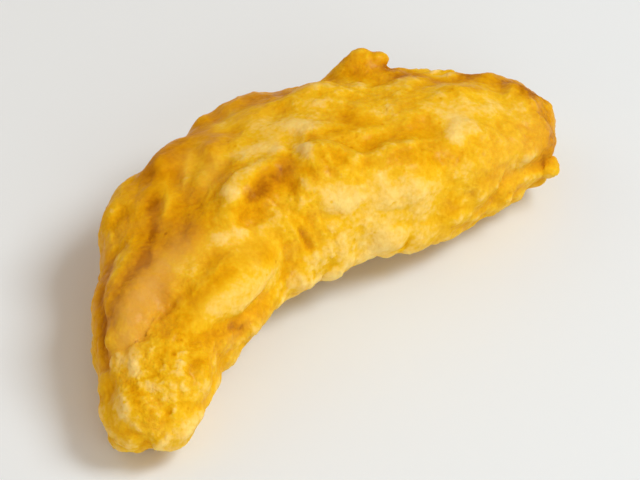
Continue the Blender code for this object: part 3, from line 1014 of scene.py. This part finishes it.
@dataclass
class Crust:
    """The whole crust of the fried strip."""

    node: bpy.types.Object
    finish: FriedBatter = field(default_factory=FriedBatter)
    backbone: Backbone = field(default_factory=Backbone)
    strokes: tuple[Stroke, ...] = (*STROKES, *brownings_and_shades(), *OuterSide().strokes())
    wrinkles: tuple[Wrinkling, ...] = WRINKLES
    blisters: tuple[Blistering, ...] = BLISTERS
    nubs: tuple[Nub, ...] = NUBS
    seed: int = 3  # starts the noise that bends the folds and bubbles; 0 would follow the clock
    weld: float = 0.01  # millimetres between loose corners that are one
    rounding: int = 2  # subdivisions that round the solid's facets
    voxel: float = 0.435  # millimetres, which keeps the crust under 200,000 triangles
    settle: int = 3  # smoothing passes after the remesh
    settle_factor: float = 0.5
    nub_detail: int = 3  # subdivisions of a nub's ball
    filled: float = 0.78  # share of a deep crease that batter ran into
    filled_below: float = 0.20  # millimetres of depth that stay open
    melted: float = 0.75  # share of its bumps that a calm patch loses
    melt_passes: int = 34
    fine_passes: int = 8
    broad_passes: int = 76
    seam_jump: float = 2.0  # millimetres along the strip between neighbours on its two arms
    seam_passes: int = 36
    seam_gain: float = 4.0  # widens the blend inside the bend
    grain: float = 0.75  # of the finest relief, where no stroke roughens or calms
    grain_gain: float = 0.5
    grain_range: tuple[float, float] = (0.35, 1.2)
    deep: float = 0.9  # millimetres under the broad form that count as a full hollow
    creased: float = 0.22  # millimetres under the near skin that count as a full crease

    def build(self) -> bpy.types.Object:
        """Makes, works and dresses the crust.

        Returns:
            The finished piece.
        """
        skin = Skin(self._fine_mesh())
        marks = self._work(skin)
        # Hollow and crease depths, which the finish turns into browning and painted shade.
        skin.store("hollow", np.clip(skin.hollows(self.broad_passes) / self.deep, -1, 1))
        skin.store("crease", np.clip(skin.hollows(self.fine_passes) / self.creased, -1, 1))
        # The strokes' browning and paling, with painted shade and painted light among it.
        skin.store("brown_and_shade", marks["brown_and_shade"])
        skin.store("dull", marks["dull"])
        skin.store("grain", np.clip(self.grain + self.grain_gain * marks["rough"], *self.grain_range))
        skin.write()
        piece = bpy.data.objects.new("crust", skin.mesh)
        bpy.context.scene.collection.objects.link(piece)
        skin.mesh.materials.clear()
        skin.mesh.materials.append(self.finish.material())
        skin.mesh.shade_smooth()
        return piece

    def _fine_mesh(self) -> bpy.types.Mesh:
        """Rounds the solid's surface, fuses in what set on it and makes it fine.

        Returns:
            The skin, before it is worked.
        """
        shape = bmesh.new()
        shape.from_mesh(self.node.data)
        bmesh.ops.remove_doubles(shape, verts=shape.verts, dist=self.weld * MM)
        round_off = {"levels": self.rounding, "render_levels": self.rounding}
        rounded = self._through(shape, [("SUBSURF", round_off)])
        self._set_nubs(rounded)
        remesh = {"mode": "VOXEL", "voxel_size": self.voxel * MM}
        settle = {"factor": self.settle_factor, "iterations": self.settle}
        mesh = bpy.data.meshes.new("crust")
        fine = self._through(rounded, [("REMESH", remesh), ("SMOOTH", settle)])
        fine.to_mesh(mesh)
        fine.free()
        return mesh

    def _set_nubs(self, shape: bmesh.types.BMesh) -> None:
        """Sets each nub on the shape as a flattened ball, to be fused with it.

        Args:
            shape: the rounded solid, which gains the balls.
        """
        for nub in self.nubs:
            middle, axes = self.backbone.axes(nub.share, nub.around)
            size = Matrix.Diagonal((nub.along * MM, nub.across * MM, nub.out * MM, 1))
            place = Matrix.Translation(middle + axes.col[2] * nub.reach * MM) @ axes.to_4x4() @ size
            bmesh.ops.create_icosphere(shape, subdivisions=self.nub_detail, radius=1, matrix=place)

    @staticmethod
    def _through(
        shape: bmesh.types.BMesh, modifiers: Iterable[tuple[str, dict[str, Any]]]
    ) -> bmesh.types.BMesh:
        """Passes a shape through modifiers.

        Args:
            shape: the shape, which is freed.
            modifiers: (type, settings) of each modifier in order.

        Returns:
            The shape that comes out.
        """
        mesh = bpy.data.meshes.new("in_work")
        shape.to_mesh(mesh)
        shape.free()
        holder = bpy.data.objects.new("in_work", mesh)
        bpy.context.scene.collection.objects.link(holder)
        for kind, settings in modifiers:
            modifier = holder.modifiers.new(kind.lower(), kind)
            for name, value in settings.items():
                setattr(modifier, name, value)
        bpy.context.view_layer.update()
        worked = holder.evaluated_get(bpy.context.evaluated_depsgraph_get())
        result = bmesh.new()
        result.from_mesh(worked.to_mesh())
        worked.to_mesh_clear()
        bpy.data.objects.remove(holder)
        bpy.data.meshes.remove(mesh)
        return result

    def _work(self, skin: Skin) -> dict[str, np.ndarray]:
        """Sculpts the skin: fills deep creases, melts calm patches, then strokes, folds and blisters it.

        Args:
            skin: the skin, whose points are moved.

        Returns:
            What all the strokes together do at each point, by the names of their fields.
        """
        noise.seed_set(self.seed)
        skin.push(self.filled * (skin.hollows(self.broad_passes) - self.filled_below).clip(0))
        places = self.backbone.places(skin.points)
        turn = np.arctan2(places[:, 1], places[:, 2])
        flat = np.stack([places[:, 0], turn * self.backbone.girth], axis=1)
        length = self.backbone.frames()[3]
        marks = {name: np.zeros(len(flat)) for name in ("lift", "brown_and_shade", "rough", "dull")}
        for stroke in self.strokes:
            weight = self._weight(stroke, flat, length)
            for name, total in marks.items():
                total += getattr(stroke, name) * weight
        seam = self._seam(skin, flat[:, 0])
        marks = {name: self._joined(skin, seam, total) for name, total in marks.items()}
        calm = self.melted * (-marks["rough"]).clip(0, 1)
        skin.points += calm[:, None] * (skin.eased(skin.points, self.melt_passes) - skin.points)
        skin.push(marks["lift"])
        for wrinkling in self.wrinkles:
            height = self._joined(skin, seam, self._folds(wrinkling, places))
            height *= np.clip(1 + wrinkling.calmed * marks["rough"], 0, 2)
            skin.push(height - height.mean())
        for blistering in self.blisters:
            height = self._bubbles(blistering, skin.points)
            height *= np.clip(1 + blistering.calmed * marks["rough"], 0, 2)
            skin.push(height - height.mean())
        skin.points[:, 2] = skin.points[:, 2].clip(0)
        return marks

    def _seam(self, skin: Skin, along: np.ndarray) -> np.ndarray:
        """How near each point lies to where the two arms meet inside the bend, from 0 to 1.

        Args:
            skin: the skin.
            along: millimetres along the strip of each point.

        Returns:
            The nearness.
        """
        ends = skin.edges[np.abs(np.diff(along[skin.edges], axis=1)[:, 0]) > self.seam_jump]
        met = np.zeros(len(along))
        met[ends.ravel()] = 1
        return (self.seam_gain * skin.eased(met, self.seam_passes)).clip(0, 1)

    def _joined(self, skin: Skin, seam: np.ndarray, values: np.ndarray) -> np.ndarray:
        """Values that run smoothly from one arm into the other."""
        return values + seam * (skin.eased(values, self.seam_passes) - values)

    def _weight(self, stroke: Stroke, flat: np.ndarray, length: float) -> np.ndarray:
        """How strongly a stroke works each point.

        Args:
            stroke: the stroke.
            flat: for each point, millimetres along the strip and round it.
            length: the strip's length in millimetres.

        Returns:
            The weight of each point, 1 on the stroke's line and falling off smoothly beside it.
        """
        route = np.array(stroke.route) * [length, math.radians(self.backbone.girth)]
        away = np.full(len(flat), np.inf)
        for start, end in zip(route, route[1:]):
            span = end - start
            share = np.clip((flat - start) @ span / (span @ span), 0, 1)
            away = np.minimum(away, np.linalg.norm(flat - start - share[:, None] * span, axis=1))
        return np.exp(-((away / (0.5 * stroke.width)) ** 2))

    def _folds(self, wrinkling: Wrinkling, places: np.ndarray) -> np.ndarray:
        """How high one scale of folds stands at each point.

        Args:
            wrinkling: the scale.
            places: where the points lie on the strip, in millimetres.

        Returns:
            The heights in millimetres.
        """
        where = places / [wrinkling.stretch, 1, 1] / wrinkling.size + wrinkling.seed
        bend = Vector((wrinkling.seed, *wrinkling.stray_seed))
        heights = np.empty(len(where))
        for index, row in enumerate(where):
            spot = Vector(row)
            spot += wrinkling.stray * noise.noise_vector(spot * wrinkling.stray_pace + bend)
            heights[index] = noise.noise(spot)
        return 2 * wrinkling.height * np.hypot(heights, wrinkling.softness)

    @staticmethod
    def _bubbles(blistering: Blistering, points: np.ndarray) -> np.ndarray:
        """How high one scale of bubbles stands at each point.

        Args:
            blistering: the scale.
            points: positions in millimetres.

        Returns:
            The heights in millimetres.
        """
        heights = np.empty(len(points))
        for index, row in enumerate(points / blistering.spacing + blistering.seed):
            spot = Vector(row)
            spot += blistering.stray * noise.noise_vector(spot * blistering.stray_pace)
            distances, centres = noise.voronoi(spot)
            chance = 0.5 + 0.5 * noise.cell(centres[0] * blistering.lot)
            growth = chance / blistering.share
            radius = blistering.fullness * (blistering.smallest + (1 - blistering.smallest) * growth)
            dome = 1 - (distances[0] / radius) ** 2 if chance < blistering.share else 0
            heights[index] = radius * math.sqrt(max(dome, 0))
        return blistering.height * heights / blistering.fullness


# --- studio ---------------------------------------------------------------------------------------


@dataclass(frozen=True)
class Lamp:
    """A soft square light aimed at the origin: its place and side in metres, and its power in watts."""

    name: str
    place: tuple[float, float, float]
    side: float
    power: float
    colour: tuple[float, float, float] = (1.0, 1.0, 1.0)

    def build(self) -> bpy.types.Object:
        """Makes the light.

        Returns:
            The light, aimed at the origin.
        """
        light = bpy.data.lights.new(self.name, "AREA")
        light.shape = "SQUARE"
        light.size = self.side
        light.energy = self.power
        light.color = self.colour
        lamp = bpy.data.objects.new(self.name, light)
        lamp.location = self.place
        lamp.rotation_euler = (-Vector(self.place)).to_track_quat("-Z", "Y").to_euler()
        bpy.context.scene.collection.objects.link(lamp)
        return lamp


@dataclass
class Studio:
    """A plain pale floor, soft lights and a camera that looks down on the strip's inner side."""

    floor_side: float = 6.0  # metres
    board: PaleBoard = field(default_factory=PaleBoard)
    lamps: tuple[Lamp, ...] = (
        Lamp("key", (0.75, -0.10, 0.95), 0.50, 9.0, (0.957, 1.0, 0.97)),
        Lamp("fill", (0.45, -0.95, 0.45), 0.8, 3.3, (0.92, 1.0, 0.95)),
        Lamp("glow", (-0.75, 0.35, 0.55), 0.8, 1.15, (1.0, 0.76, 0.46)),
        Lamp("near_glow", (-0.70, -0.60, 0.30), 0.6, 0.60, (1.0, 0.72, 0.42)),
    )
    sky: float = 0.405
    sky_tint: tuple[float, float, float] = (1.0, 0.865, 0.72)
    elevation: float = 44.5  # degrees
    roll: float = -2.56  # degrees
    distance: float = 0.65  # metres
    lens: float = 190.0  # millimetres
    aim: tuple[float, float, float] = (-0.0019, 0.0, 0.0144)  # metres

    def build(self) -> bpy.types.Object:
        """Sets the floor, the lights, the sky and the camera.

        Returns:
            The floor.
        """
        for lamp in self.lamps:
            lamp.build()
        self._sky()
        self._camera()
        bpy.context.scene.view_settings.view_transform = "Standard"
        return self._floor()

    def _floor(self) -> bpy.types.Object:
        """Makes the floor, level with what the strip lies on.

        Returns:
            The floor.
        """
        shape = bmesh.new()
        bmesh.ops.create_grid(shape, x_segments=1, y_segments=1, size=self.floor_side / 2)
        mesh = bpy.data.meshes.new("floor")
        shape.to_mesh(mesh)
        shape.free()
        mesh.materials.append(self.board.material())
        floor = bpy.data.objects.new("floor", mesh)
        bpy.context.scene.collection.objects.link(floor)
        return floor

    def _sky(self) -> None:
        """Even, faintly warm light from all round."""
        world = bpy.data.worlds.new("studio")
        bpy.context.scene.world = world
        world.use_nodes = True
        background = world.node_tree.nodes["Background"]
        background.inputs["Color"].default_value = (*self.sky_tint, 1.0)
        background.inputs["Strength"].default_value = self.sky

    def _camera(self) -> None:
        """The camera, turned a little about its own line of sight."""
        tilt = math.radians(self.elevation)
        back = Vector((0, -math.cos(tilt), math.sin(tilt)))
        lens = bpy.data.cameras.new("camera")
        lens.lens = self.lens
        camera = bpy.data.objects.new("camera", lens)
        turn = back.to_track_quat("Z", "Y").to_matrix() @ Matrix.Rotation(math.radians(self.roll), 3, "Z")
        camera.matrix_world = Matrix.Translation(Vector(self.aim) + back * self.distance) @ turn.to_4x4()
        bpy.context.scene.collection.objects.link(camera)
        bpy.context.scene.camera = camera


def main() -> None:
    """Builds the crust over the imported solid, then the studio round it."""
    logging.basicConfig(level=logging.INFO, format="%(name)s: %(message)s")
    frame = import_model()
    crust = Crust(frame["nodes"][NODE]).build()
    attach(crust, "root")
    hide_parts(NODE)
    LOG.info("crust: %d faces", len(crust.data.polygons))
    floor = Studio().build()
    LOG.info("studio: floor, lights and camera")


if __name__ == "__main__":
    main()
